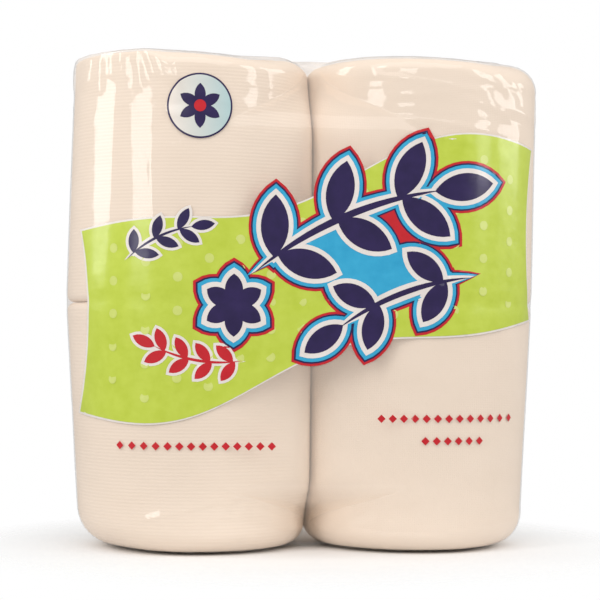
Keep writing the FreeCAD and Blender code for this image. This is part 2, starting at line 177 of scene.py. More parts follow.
wrinkles = {
    # start, end, width and height of each crest, all in mm on the front
    "pleats": [((-95.5 + 4.4 * i, 201.5), (-98.0 + 5.4 * i, 190.0 - 2.5 * (i % 3)), 1.3, 0.9) for i in range(9)],
    "shoulder": [
        ((70.0, 197.0), (90.0, 178.0), 4.6, 1.0), ((64.0, 190.0), (79.0, 177.0), 4.0, 0.9),
        ((84.0, 196.0), (95.0, 180.0), 2.6, 0.9), ((72.0, 183.0), (94.0, 179.0), 2.2, 0.8),
        ((60.0, 195.0), (82.0, 191.0), 1.8, 0.7), ((60.0, 184.0), (76.0, 180.0), 1.5, 0.5),
    ],
    "foot": [
        ((-30.0, 24.0), (-36.0, 17.0), 1.6, 0.8), ((-76.0, 12.0), (-34.0, 22.0), 2.8, 1.1),
        ((20.0, 9.0), (60.0, 6.0), 1.8, 0.5), ((78.0, 22.0), (92.0, 12.0), 2.0, 0.8),
        ((60.0, 22.0), (84.0, 16.0), 2.2, 0.4),
    ],
    "lines": [
        ((-67.0, 161.0), (-65.5, 128.0), 0.9, 0.35), ((3.0, 196.0), (76.0, 187.0), 1.1, 0.45),
        ((3.0, 190.0), (58.0, 189.0), 1.0, 0.35), ((28.0, 184.0), (80.0, 190.5), 1.0, 0.35),
        ((24.0, 177.0), (78.0, 171.0), 1.1, 0.45), ((30.0, 172.0), (64.0, 166.0), 1.0, 0.35),
        ((-32.0, 190.0), (-6.0, 186.0), 1.1, 0.35), ((-30.0, 180.0), (-4.0, 177.0), 1.0, 0.30),
        ((-86.0, 179.0), (-68.0, 181.0), 1.0, 0.35), ((-2.5, 69.0), (-3.5, 61.0), 1.0, 0.5),
        ((2.0, 24.0), (2.0, 20.0), 1.0, 0.4), ((20.0, 199.0), (25.0, 193.0), 1.2, 0.6),
    ],
}

# Strips where the film is pulled flat over the round roll: start, end, half width at each end
facets = [
    ((-85.0, 192.0), (-88.5, 118.0), 4.5, 4.5), ((-73.0, 197.0), (-70.0, 132.0), 4.5, 2.5),
    ((-97.0, 60.0), (-88.0, 20.0), 3.5, 5.0),
    ((86.0, 186.0), (78.0, 164.0), 5.0, 3.5),
]


def flatStrip(x, z, start, end, startHalf, endHalf):
    # How far a flat strip lies inside the round outline
    dx, dz = end[0] - start[0], end[1] - start[1]
    along = ((x - start[0]) * dx + (z - start[1]) * dz) / (dx * dx + dz * dz)
    across = np.abs((x - start[0]) * dz - (z - start[1]) * dx) / math.hypot(dx, dz)
    half = startHalf + (endHalf - startHalf) * np.clip(along, 0, 1)
    fade = smoothStep(-0.05, 0.05, along) * smoothStep(1.08, 0.95, along)
    return fade * np.maximum(half ** 2 - across ** 2, 0) / 70.0


def fold(x, z, start, end, width, height):
    # A crest between two points that fades towards both
    dx, dz = end[0] - start[0], end[1] - start[1]
    along = ((x - start[0]) * dx + (z - start[1]) * dz) / (dx * dx + dz * dz)
    across = np.abs((x - start[0]) * dz - (z - start[1]) * dx) / math.hypot(dx, dz)
    fade = smoothStep(-0.12, 0.25, along) * smoothStep(1.12, 0.75, along)
    return height * fade * np.exp(-(across / width) ** 1.4)


def waves(x, y, z, length, count, seed, ridged=False):
    # A sum of plane waves in fixed random directions
    maker = np.random.default_rng(seed)
    total = np.zeros_like(x)
    for _ in range(count):
        direction = maker.normal(size=3)
        direction *= 2 * math.pi / (length * maker.uniform(0.7, 1.4) * np.linalg.norm(direction))
        wave = np.sin(direction[0] * x + direction[1] * y + direction[2] * z + maker.uniform(0, 6.28))
        total += 0.5 - np.abs(wave) if ridged else wave
    return total / math.sqrt(count)


def filmRise(x, y, z):
    front = smoothStep(12.0, -8.0, y)
    ends = smoothStep(168.0, 198.0, z) + smoothStep(34.0, 8.0, z)
    rise = 0.06 * waves(x, y, z, 42.0, 7, 3)
    rise += (0.02 + 0.16 * ends) * waves(x, y, z, 15.0, 7, 5, True)
    for strip in facets:
        rise -= front * flatStrip(x, z, *strip)
    for group in wrinkles.values():
        for start, end, width, height in group:
            rise += front * fold(x, z, start, end, width, height)
    # The upper right shoulder is crumpled, and pulls drag the film across under the top edge.
    crumple = np.exp(-((x - 84.0) / 14.0) ** 2 - ((z - 184.0) / 12.0) ** 2) * front * smoothStep(171.0, 177.0, z)
    rise += crumple * (0.55 * waves(x, y, z, 16.0, 6, 11, True) + 0.30 * waves(x, y, z, 8.0, 6, 13, True))
    pulls = smoothStep(166.0, 182.0, z) * smoothStep(201.0, 194.0, z)
    rise += 0.07 * pulls * np.sin(2 * math.pi * (z + 0.06 * x) / 6.5 + 2.2 * waves(x, y, z, 60.0, 4, 21))
    # The film dips where the upper rolls meet the lower ones.
    rise -= 0.30 * np.exp(-((z - rollJoint) / 3.0) ** 2)
    return np.clip(rise, -0.35, 1.1)


# ---- The film as one closed sheet ----

film = {
    "arcCells": 140, "bridgeCells": 44, "wallRows": 186, "rimRows": 8, "capRings": 24,
    "topRadius": 6.0, "bottomRadius": 9.0, "earRadius": 1.0, "earStart": 112.0, "earEnd": 205.0,
    "shoulderSlack": 4.0, "leftFootSlack": 6.0, "rightFootSlack": 2.5, "rimInside": 0.7,
    "sideFlap": 46.0, "overlap": 7.0, "slant": 34.0, "lapOffset": 24.0, "lapWidth": 16.0,
}


def arcShares():
    # Share of the way round each column at every place of a row, and the column's side
    arcs, bridges = film["arcCells"], film["bridgeCells"]
    share = np.arange(arcs + 1) / arcs
    gap = np.zeros(bridges - 1)
    shares = np.concatenate([share, gap, share[::-1], gap])
    sides = np.concatenate([share * 0 - 1, gap, share * 0 + 1, gap])
    return shares, sides


def window(angle, low, high, soft):
    return smoothStep(low - soft, low + soft, angle) * smoothStep(high + soft, high - soft, angle)


def topRimRadius(side, turn):
    # Sharp where the folded end stands up in an ear at the upper left, and rounder at the outer
    # shoulder on the right. The turn is in degrees from the line between the columns.
    ear = window(turn, film["earStart"], film["earEnd"], 7.0) * (side < 0)
    shoulder = window(turn, 120.0, 215.0, 25.0) * (side > 0)
    return film["topRadius"] + (film["earRadius"] - film["topRadius"]) * ear + film["shoulderSlack"] * shoulder


def bottomRimRadius(side, turn):
    # Rounder at the outer foot of each column
    foot = window(turn, 125.0, 225.0, 25.0)
    return film["bottomRadius"] + foot * (film["leftFootSlack"] * (side < 0) + film["rightFootSlack"] * (side > 0))


def ringAt(z, inset):
    # x, y of one closed row: left column, back of the groove, right column, front of the groove
    arcs, bridges = film["arcCells"], film["bridgeCells"]
    corners = {}
    share = np.arange(arcs + 1) / arcs
    for side, first in ((-1, slice(0, arcs + 1)), (1, slice(arcs + bridges, 2 * arcs + bridges + 1))):
        height, pulled = z[first], inset[first]
        if side > 0:
            height, pulled = height[::-1], pulled[::-1]
        attach = attachAngle(height)
        degrees = attach + (360 - 2 * attach) * share
        angle = np.radians(degrees)
        middle = columnMiddle(side, height)
        radius = columnWidth(side, height) / 2 + filmOffset - pulled
        corners[side] = np.stack([middle - side * radius * np.cos(angle), -radius * np.sin(angle)], 1)
    left, right = corners[-1], corners[1][::-1]
    cross = (np.arange(1, bridges) / bridges)[:, None]
    back = left[-1] + (right[0] - left[-1]) * cross
    front = right[-1] + (left[0] - right[-1]) * cross
    return np.concatenate([left, back, right, front])


def flapLayers(x, y, z):
    # Layers of folded film over one point of an end: side flaps, then back flap, then front flap
    left = columnMiddle(-1, z) - columnWidth(-1, z) / 2
    right = columnMiddle(1, z) + columnWidth(1, z) / 2
    half = 49.9
    layers = np.zeros_like(x)
    for reach in (x - left, right - x):
        edge = half * (0.7 - 0.45 * np.clip(reach / film["sideFlap"], 0, 1))
        inside = smoothStep(film["sideFlap"] + 0.8, film["sideFlap"] - 0.8, reach)
        layers = np.maximum(layers, inside * smoothStep(edge + 0.8, edge - 0.8, np.abs(y)))
    for facing, count in ((1, 2.0), (-1, 3.0)):
        depth = half - facing * y
        slant = film["slant"] * np.clip(depth / (half + film["overlap"]), 0, 1)
        inside = smoothStep(half + film["overlap"] + 0.8, half + film["overlap"] - 0.8, depth)
        for reach in (x - left, right - x):
            inside = inside * smoothStep(slant - 0.8, slant + 0.8, reach)
        layers = np.maximum(layers, count * inside)
    return layers


def makeFilm(material):
    arcs, bridges = film["arcCells"], film["bridgeCells"]
    count = 2 * (arcs + 1) + 2 * (bridges - 1)
    ones = np.ones(count)
    shares, sides = arcShares()
    topRadius = topRimRadius(sides, 18 + 324 * shares)
    bottomRadius = bottomRimRadius(sides, 18 + 324 * shares)
    grid = []
    for step in range(film["rimRows"]):
        turn = math.pi / 2 * step / film["rimRows"]
        z = filmBase + bottomRadius * (1 - math.cos(turn))
        grid.append((z, bottomRadius * (1 - math.sin(turn))))
    low, high = filmBase + bottomRadius, filmTop - topRadius
    for step in range(film["wallRows"] + 1):
        grid.append((low + (high - low) * step / film["wallRows"], 0.0 * ones))
    for step in range(1, film["rimRows"] + 1):
        turn = math.pi / 2 * step / film["rimRows"]
        z = filmTop - topRadius * (1 - math.sin(turn))
        grid.append((z, topRadius * (1 - math.cos(turn))))
    rows = [np.column_stack([ringAt(z, inset), z]) for z, inset in grid]
    for end in (0, -1):
        edge = rows[end]
        spine = edge.copy()
        spine[:, 0] = np.clip(edge[:, 0], columnMiddle(-1, edge[:, 2]), columnMiddle(1, edge[:, 2]))
        spine[:, 1] = 0.0
        facing = 1 if end else -1
        for ring in range(1, film["capRings"] + 1):
            share = ring / film["capRings"]
            row = edge + (spine - edge) * share
            settle = smoothStep(0.02, 0.10, share)
            creases = 0.13 * waves(row[:, 0], row[:, 1], 0 * row[:, 2], 20.0, 6, 31, True)
            row[:, 2] += facing * settle * (foldLayer * flapLayers(row[:, 0], row[:, 1], row[:, 2]) + creases)
            rows = rows + [row] if end else [row] + rows
    points = np.array(rows)
    around = np.roll(points, -1, 1) - np.roll(points, 1, 1)
    upward = np.gradient(points, axis=0)
    normal = np.cross(upward, around)
    length = np.linalg.norm(normal, axis=2, keepdims=True)
    normal = np.where(length > 1e-6, normal / np.maximum(length, 1e-6), 0.0)
    x, y, z = points[..., 0], points[..., 1], points[..., 2]
    rise = filmRise(x, y, z)
    onEnd = np.ones(points.shape[:2])
    onEnd[:film["capRings"]] = 0.0
    onEnd[-film["capRings"]:] = 0.0
    # The sheet's two edges are lapped at the back, with a raised bead along each edge of the seal.
    lapStart = columnMiddle(-1, middleHeight) + film["lapOffset"]
    lapEnd = lapStart + film["lapWidth"]
    lap = 0.2 * smoothStep(lapStart - 0.6, lapStart + 0.6, x) * smoothStep(lapEnd + 0.6, lapEnd - 0.6, x)
    beads = 0.3 * (np.exp(-((x - lapStart) / 0.9) ** 2) + np.exp(-((x - lapEnd) / 0.9) ** 2))
    rise = (rise + (lap + beads) * smoothStep(10.0, 20.0, y)) * onEnd
    points = points + normal * rise[..., None]
    low, high = np.array(cadBounds[0]) / mm, np.array(cadBounds[1]) / mm
    points = np.clip(points, low + 0.02, high - 0.02)
    total = len(points)
    faces = []
    for row in range(total - 1):
        for column in range(count):
            after = (column + 1) % count
            faces.append((row * count + column, (row + 1) * count + column,
                          (row + 1) * count + after, row * count + after))
    piece = makeMesh("filmWrap", points.reshape(-1, 3), faces, material)
    closeCaps(piece)
    return piece


def closeCaps(piece):
    # The last rings meet on a line between the column middles.
    shape = bmesh.new()
    shape.from_mesh(piece.data)
    bmesh.ops.remove_doubles(shape, verts=shape.verts, dist=0.02 * mm)
    bmesh.ops.dissolve_degenerate(shape, edges=shape.edges, dist=0.005 * mm)
    bmesh.ops.recalc_face_normals(shape, faces=shape.faces)
    shape.to_mesh(piece.data)
    shape.free()


# ---- Print: flat outlines in x and z, laid on the wrinkled film ----

printing = {
    "gridPitch": 1.5, "whiteEdge": 1.9, "cyanEdge": 3.3, "lineEdge": 3.95, "redEdge": 4.9, "smallEdge": 1.1,
    "bandLeft": -93.5, "bandRight": 92.5, "bandHeight": 72.0, "bandMiddle": 112.0, "bandRise": 42.0,
    "bandWave": 5.0, "dotSpacing": 12.0, "dotRadius": 1.9, "markPitch": 4.6, "markHalf": 1.7,
    "badge": (-48.0, 179.0), "badgeRadius": 13.0, "badgeRing": 0.7, "lift": 0.08,
}


def arcThrough(start, bulge, end, count):
    # Points of a shallow arc from start to end, whose middle stands off by bulge to the left
    share = np.arange(count + 1) / count
    dx, dz = end[0] - start[0], end[1] - start[1]
    length = math.hypot(dx, dz)
    radius = (length * length / 4 + bulge * bulge) / (2 * abs(bulge))
    offset = np.sqrt(radius ** 2 - (length * (share - 0.5)) ** 2) - (radius - abs(bulge))
    offset = offset * math.copysign(1.0, bulge)
    return [(start[0] + dx * s - dz / length * o, start[1] + dz * s + dx / length * o)
            for s, o in zip(share, offset)]


def leaf(base, angle, length, halfWidth, grow):
    ax, az = math.cos(math.radians(angle)), math.sin(math.radians(angle))
    reach = 1.3 * grow
    start = (base[0] - ax * reach, base[1] - az * reach)
    end = (base[0] + ax * (length + reach), base[1] + az * (length + reach))
    wide = halfWidth + grow
    steps = 12 if length > 11 else 8
    return arcThrough(start, -wide, end, steps)[:-1] + arcThrough(end, -wide, start, steps)[:-1]


def stem(start, end, bend, thickness, grow):
    length = math.dist(start, end)
    ax, az = (end[0] - start[0]) / length, (end[1] - start[1]) / length
    first = (start[0] - ax * grow, start[1] - az * grow)
    last = (end[0] + ax * grow, end[1] + az * grow)
    high = arcThrough(first, bend + thickness / 2 + grow, last, 16)
    low = arcThrough(first, bend - thickness / 2 - grow, last, 16)
    return low[:-1] + high[:0:-1]


def circle(x, z, radius, steps=36):
    return [(x + radius * math.cos(2 * math.pi * i / steps), z + radius * math.sin(2 * math.pi * i / steps))
            for i in range(steps)]


def sprig(start, end, bend, pairs, leafLength, leafHalf, spread, grow):
    length = math.dist(start, end)
    heading = math.degrees(math.atan2(end[1] - start[1], end[0] - start[0]))
    ax, az = (end[0] - start[0]) / length, (end[1] - start[1]) / length
    shapes = [stem(start, end, bend, leafHalf / 2, grow)]
    leaves = [(1 - 0.12 * leafLength / length, 0)]
    for pair in range(pairs):
        share = (pair + 0.35) / pairs
        leaves += [(share, 1), (share + 0.02, -1)]
    for share, sign in leaves:
        offset = 4 * bend * share * (1 - share)
        turn = math.degrees(math.atan(4 * bend * (1 - 2 * share) / length))
        base = (start[0] + ax * length * share - az * offset, start[1] + az * length * share + ax * offset)
        shapes.append(leaf(base, heading + turn + sign * spread, leafLength, leafHalf, grow))
    return shapes


def blossom(x, z, petals, length, half, grow):
    return [circle(x, z, half + grow)] + [
        leaf((x, z), 90 + 360 * petal / petals, length, half, grow) for petal in range(petals)]


def largeOrnaments(grow):
    return (sprig((-26.0, 113.0), (50.0, 147.0), 6.0, 3, 25.0, 5.6, 52.0, grow)
            + sprig((62.0, 112.0), (8.0, 91.0), -4.0, 2, 19.0, 4.4, 50.0, grow)
            + blossom(-34.0, 100.0, 6, 12.5, 3.6, grow))


def smallNavyOrnament(grow):
    return sprig((-76.0, 118.0), (-50.0, 131.0), 2.5, 3, 9.5, 2.0, 48.0, grow)


def smallRedOrnament(grow):
    return sprig((-30.0, 78.0), (-66.0, 84.0), 3.0, 4, 9.5, 2.2, 48.0, grow)


def bandEdge(share, upper):
    x = printing["bandLeft"] + (printing["bandRight"] - printing["bandLeft"]) * share
    rise = printing["bandRise"] * (smoothStep(0.0, 1.0, share) - 0.5)
    wave = printing["bandWave"] * math.sin(2 * math.pi * (1.5 * share + (0.1 if upper else 0.45)))
    half = printing["bandHeight"] / 2 if upper else -printing["bandHeight"] / 2
    return x, float(printing["bandMiddle"] + rise + half + wave)


def greenBand(grow):
    lower = [bandEdge(step / 60, False) for step in range(61)]
    upper = [bandEdge(step / 60, True) for step in range(60, -1, -1)]
    lower = [(x * (1 + grow / 90), z - grow) for x, z in lower]
    upper = [(x * (1 + grow / 90), z + grow) for x, z in upper]
    rightSide = arcThrough(lower[-1], 3.0, upper[0], 24)[1:-1]
    leftSide = arcThrough(upper[-1], 3.0, lower[0], 24)[1:-1]
    return [lower + rightSide + upper + leftSide]


def onFilm(x, z, level):
    # A point of the film's front and its outward direction there
    x, z = np.asarray(x, float), np.asarray(z, float)
    attach = np.radians(attachAngle(z))
    middles, radii, leaves = {}, {}, {}
    for side in (-1, 1):
        middles[side] = columnMiddle(side, z)
        radii[side] = columnWidth(side, z) / 2 + filmOffset
        leaves[side] = middles[side] - side * radii[side] * np.cos(attach)
    share = np.clip((x - leaves[-1]) / (leaves[1] - leaves[-1]), 0, 1)
    depth = (radii[-1] * (1 - share) + radii[1] * share) * np.sin(attach)
    normalX = np.zeros_like(x)
    for side in (-1, 1):
        away = x - middles[side]
        arc = side * (x - leaves[side]) >= 0
        round_ = np.sqrt(np.maximum(radii[side] ** 2 - away ** 2, 0.0))
        depth = np.where(arc, round_, depth)
        normalX = np.where(arc, away / radii[side], normalX)
    normalX = np.clip(normalX, -0.98, 0.98)
    normalY = -np.sqrt(1 - normalX ** 2)
    rise = filmRise(x, -depth, z) + printing["lift"] + level
    return np.stack([x + normalX * rise, -depth + normalY * rise, z], -1), normalX, normalY


def layOutlines(outlines, level):
    # Outlines of one ink are joined, cut into small triangles and laid on the film.
    points, faces = [], []
    for outline in outlines:
        area = sum(a[0] * b[1] - b[0] * a[1] for a, b in zip(outline, outline[1:] + outline[:1]))
        outline = outline if area > 0 else outline[::-1]
        faces.append(list(range(len(points), len(points) + len(outline))))
        points += outline
    spots = np.array(points)
    pitch = printing["gridPitch"]
    for row, z in enumerate(np.arange(spots[:, 1].min(), spots[:, 1].max(), pitch)):
        shift = pitch / 2 * (row % 2)
        points += [(x, z) for x in np.arange(spots[:, 0].min() + shift, spots[:, 0].max(), pitch)]
    found = delaunay_2d_cdt([Vector(p) for p in points], [], faces, 1, 1e-4)
    flat = np.array([tuple(p) for p in found[0]])
    laid, _, _ = onFilm(flat[:, 0], flat[:, 1], level)
    return laid, [tuple(face) for face in found[2]]


def makePrint(name, layers, material):
    points, faces = np.zeros((0, 3)), []
    for outlines, level in layers:
        laid, triangles = layOutlines(outlines, level)
        faces += [tuple(index + len(points) for index in face) for face in triangles]
        points = np.concatenate([points, laid])
    return makeMesh(name, points, faces, material)


def marksTree():
    # Flat marks on every point of a mesh, each turned to face along its point's own normal
    tree = bpy.data.node_groups.new("marksOnFilm", "GeometryNodeTree")
    for name, kind, direction in (
        ("Points", "NodeSocketGeometry", "INPUT"), ("Mark Radius", "NodeSocketFloat", "INPUT"),
        ("Mark Sides", "NodeSocketInt", "INPUT"), ("Material", "NodeSocketMaterial", "INPUT"),
        ("Marks", "NodeSocketGeometry", "OUTPUT"),
    ):
        tree.interface.new_socket(name, in_out=direction, socket_type=kind)
    given = addNode(tree, "NodeGroupInput").outputs
    disc = addNode(tree, "GeometryNodeMeshCircle", {"fill_type": "TRIANGLE_FAN"}, {
        "Vertices": given["Mark Sides"], "Radius": given["Mark Radius"]})
    outward = addNode(tree, "GeometryNodeInputNamedAttribute", {"data_type": "FLOAT_VECTOR"}, {"Name": "outward"})
    turned = addNode(tree, "FunctionNodeAxesToRotation", {"primary_axis": "Z", "secondary_axis": "Y"}, {
        "Primary Axis": outward.outputs["Attribute"], "Secondary Axis": (0.0, 0.0, 1.0)})
    placed = addNode(tree, "GeometryNodeInstanceOnPoints", {}, {
        "Points": given["Points"], "Instance": disc.outputs["Mesh"], "Rotation": turned.outputs["Rotation"]})
    real = addNode(tree, "GeometryNodeRealizeInstances", {}, {"Geometry": placed.outputs["Instances"]})
    done = addNode(tree, "GeometryNodeSetMaterial", {}, {
        "Geometry": real.outputs["Geometry"], "Material": given["Material"]})
    addNode(tree, "NodeGroupOutput", {}, {"Marks": done.outputs["Geometry"]})
    return tree


def runTree(piece, tree, values):
    # The tree's result becomes the piece's plain mesh.
    modifier = piece.modifiers.new("tree", "NODES")
    modifier.node_group = tree
    sockets = {item.name: item.identifier for item in tree.interface.items_tree if item.in_out == "INPUT"}
    for name, value in values.items():
        modifier[sockets[name]] = value
    evaluated = piece.evaluated_get(bpy.context.evaluated_depsgraph_get())
    mesh = bpy.data.meshes.new_from_object(evaluated)
    piece.modifiers.remove(modifier)
    old = piece.data
    piece.data = mesh
    bpy.data.meshes.remove(old)


def makeMarks(name, spots, level, radius, sides, material):
    laid, normalX, normalY = onFilm([s[0] for s in spots], [s[1] for s in spots], level)
    piece = makeMesh(name, laid, [], material, smooth=False)
    outward = piece.data.attributes.new("outward", "FLOAT_VECTOR", "POINT")
    directions = np.stack([normalX, normalY, np.zeros_like(normalX)], -1)
    outward.data.foreach_set("vector", directions.ravel())
    runTree(piece, marksTree(), {"Mark Radius": radius * mm, "Mark Sides": sides, "Material": material})
    return piece


def joinPieces(name, pieces):
    # Several meshes of one ink become one piece.
    with bpy.context.temp_override(active_object=pieces[0], selected_editable_objects=pieces):
        bpy.ops.object.join()
    pieces[0].name = name
    pieces[0].data.name = name
    return pieces[0]


# ---- Materials ----

def filmCrinkle(tree, place):
    # Polyethylene film pulled over soft rolls: shallow pulls a few mm across, and finer crackle
    broad = noiseOf(tree, stretch(tree, place, 16.0, 16.0, 9.0), 2.0, 0.55)
    fine = noiseOf(tree, stretch(tree, place, 5.0, 5.0, 3.2), 2.0, 0.5)
    return bump(tree, fine, 0.10, 0.5, bump(tree, broad, 0.5, 0.6))


def clearFilmMaterial():
    # Blown polyethylene film: clear with a faint milky cast, and sharp highlights along its wrinkles
    material, tree, shader, place = newMaterial("clearPolyethyleneFilm", {
        "Alpha": 0.32, "Roughness": 0.09, "IOR": 1.52, "Specular IOR Level": 1.0,
        "Coat Weight": 1.0, "Coat Roughness": 0.05, "Coat IOR": 1.5})
    cloud = noiseOf(tree, stretch(tree, place, 38.0, 38.0, 24.0), 2.0, 0.5)
    colour = mixColours(tree, cloud, hexToLinear("ead9c9"), hexToLinear("f2e3d5"))
    tree.links.new(colour, shader.inputs["Base Color"])
    tree.links.new(filmCrinkle(tree, place), shader.inputs["Normal"])
    return material


def tissueMaterial(name, dotted):
    # Soft two-ply tissue, calendered with a fine emboss: matt, faintly warm, tiny even relief, and a little painted
    # shade in the emboss troughs
    material, tree, shader, place = newMaterial(name, {
        "Roughness": 0.92, "IOR": 1.45, "Specular IOR Level": 0.3, "Sheen Weight": 0.12, "Sheen Roughness": 0.6})
    split = addNode(tree, "ShaderNodeSeparateXYZ", {}, {"Vector": place}).outputs
    across = calculate(tree, "MULTIPLY", split["X"], 2000 * math.pi / 1.7)
    upward = calculate(tree, "MULTIPLY", split["Z"], 2000 * math.pi / 1.4)
    if dotted:
        first = calculate(tree, "SINE", calculate(tree, "ADD", across, upward))
        second = calculate(tree, "SINE", calculate(tree, "SUBTRACT", across, upward))
        relief = calculate(tree, "MULTIPLY", first, second)
    else:
        relief = calculate(tree, "MULTIPLY", calculate(tree, "SINE", upward), 1.0)
    relief = remap(tree, relief, -1.0, 1.0, 0.0, 1.0)
    fibre = noiseOf(tree, stretch(tree, place, 0.8, 0.8, 0.8), 3.0, 0.6)
    tone = noiseOf(tree, stretch(tree, place, 30.0, 30.0, 12.0), 2.0, 0.5)
    colour = mixColours(tree, tone, hexToLinear("e6d2be"), hexToLinear("eedbc8"))
    # Painted shade: the emboss troughs are darkened a little towards a deeper beige, as if shade fell in them.
    embossTroughShade = mixColours(tree, remap(tree, relief, 0.0, 0.7, 0.07, 0.0), colour, hexToLinear("c9b5a2"))
    tree.links.new(embossTroughShade, shader.inputs["Base Color"])
    normal = bump(tree, relief, 0.06, 0.6, bump(tree, fibre, 0.10, 0.4))
    tree.links.new(normal, shader.inputs["Normal"])
    return material


def coreMaterial():
    # Spiral-wound greyboard: brown-grey plies, dark flecks, and a seam that climbs round the tube
    material, tree, shader, place = newMaterial("spiralGreyboard", {
        "Roughness": 0.85, "IOR": 1.5, "Specular IOR Level": 0.35})
    fleck = noiseOf(tree, stretch(tree, place, 1.2, 1.2, 2.0), 4.0, 0.7)
    seam = addNode(tree, "ShaderNodeTexWave", {"wave_type": "BANDS", "bands_direction": "DIAGONAL"}, {
        "Vector": stretch(tree, place, 60.0, 60.0, 60.0), "Scale": 1.0, "Distortion": 0.3}).outputs["Fac"]
    colour = mixColours(tree, remap(tree, fleck, 0.35, 0.7, 0.0, 1.0), hexToLinear("8d765e"), hexToLinear("b09678"))
    dark = mixColours(tree, remap(tree, seam, 0.0, 0.06, 0.5, 0.0), colour, hexToLinear("6d5843"))
    tree.links.new(dark, shader.inputs["Base Color"])
    tree.links.new(bump(tree, fleck, 0.15, 0.5), shader.inputs["Normal"])
    return material


def inkMaterial(name, dark, light, roughness=0.30):
    # Flexo ink under the film's gloss: even, with a faint mottle of the plate
    material, tree, shader, place = newMaterial(name, {
        "Roughness": roughness, "IOR": 1.5, "Specular IOR Level": 0.5, "Coat Weight": 0.35, "Coat Roughness": 0.12})
    mottle = noiseOf(tree, stretch(tree, place, 6.0, 6.0, 6.0), 3.0, 0.55)
    colour = mixColours(tree, remap(tree, mottle, 0.3, 0.7, 0.0, 1.0), hexToLinear(dark), hexToLinear(light))
    tree.links.new(colour, shader.inputs["Base Color"])
    tree.links.new(filmCrinkle(tree, place), shader.inputs["Normal"])
    return material


def badgeMaterial():
    # Pale blue ink that fades out towards the pack's left side
    material, tree, shader, place = newMaterial("paleBlueInk", {
        "Roughness": 0.30, "IOR": 1.5, "Specular IOR Level": 0.5, "Coat Weight": 0.35, "Coat Roughness": 0.12})
    split = addNode(tree, "ShaderNodeSeparateXYZ", {}, {"Vector": place}).outputs
    fade = remap(tree, split["X"], -0.062, -0.036, 0.0, 1.0)
    colour = mixColours(tree, fade, hexToLinear("efe1d5"), hexToLinear("b1cbcc"))
    tree.links.new(colour, shader.inputs["Base Color"])
    tree.links.new(filmCrinkle(tree, place), shader.inputs["Normal"])
    return material


# ---- Rolls ----

roll = {"cells": 160, "coreRadius": 21.0, "turnPitch": 2.4, "turnMargin": 2.2, "turnRise": 0.25, "inset": 0.1,
        "pressCorner": 17.0, "pressShare": 0.85, "jointRadius": 3.0,
        "earRadius": 1.4}


def pressedRadius(radius, turned, leave):
    # A roll leaves its circle along a tangent, turns a round corner and lies flat on its neighbour.
    corner = roll["pressCorner"]
    centre = (radius - corner) / np.cos(leave / 2)
    flatEnd = np.arctan(centre * np.sin(leave / 2) / radius)
    across = turned - leave / 2
    rounded = centre * np.cos(across) + np.sqrt(np.maximum(corner ** 2 - (centre * np.sin(across)) ** 2, 0))
    pressed = np.where(turned < flatEnd, radius / np.cos(turned), radius / np.cos(np.minimum(leave - turned, 1.2)))
    pressed = np.where((turned >= flatEnd) & (turned <= leave - flatEnd), rounded, pressed)
    return np.where(turned < leave, pressed, radius)


def makeRollBody(name, side, floor, lowRadius, highRadius, tailAngle, material):
    top = floor + rollHeight
    angle = 2 * math.pi * np.arange(roll["cells"]) / roll["cells"]
    profile = []
    for step in range(9):
        turn = math.pi / 2 * step / 8
        profile.append((floor + lowRadius * (1 - math.cos(turn)), lowRadius * (1 - math.sin(turn))))
    for step in range(1, 24):
        profile.append((floor + lowRadius + (rollHeight - lowRadius - highRadius) * step / 24, 0.0))
    for step in range(9):
        turn = math.pi / 2 * step / 8
        profile.append((top - highRadius * (1 - math.sin(turn)), highRadius * (1 - math.cos(turn))))
    away = (np.degrees(angle) - tailAngle) % 360
    tail = np.where(away < 26.0, 0.2 * smoothStep(26.0, 6.0, away), 0.0)
    rows = []
    for z, inset in profile:
        plain = 1.0 if np.max(inset) < 0.01 else 0.0
        radius = columnWidth(side, z) / 2 - roll["inset"] - inset + tail * plain
        rows.append((radius, z))
    middle = columnMiddle(side, floor + rollHeight / 2)
    # Angle from the line between the columns, the same to the front and to the back
    turned = np.abs(np.arctan2(np.sin(angle), -side * np.cos(angle)))
    points = []
    for radius, z in rows:
        x = columnMiddle(side, z)
        radius = pressedRadius(radius, turned, np.radians(roll["pressShare"] * attachAngle(z)))
        points.append(np.stack([x + radius * np.cos(angle), radius * np.sin(angle), z + 0 * angle], 1))
    for z in (top, floor):
        bore = roll["coreRadius"]
        points.append(np.stack([middle + bore * np.cos(angle), bore * np.sin(angle), z + 0 * angle], 1))
    count = roll["cells"]
    faces = []
    for row in range(len(points)):
        following = (row + 1) % len(points)
        for column in range(count):
            after = (column + 1) % count
            faces.append((row * count + column, row * count + after,
                          following * count + after, following * count + column))
    return makeMesh(name, np.concatenate(points), faces, material)


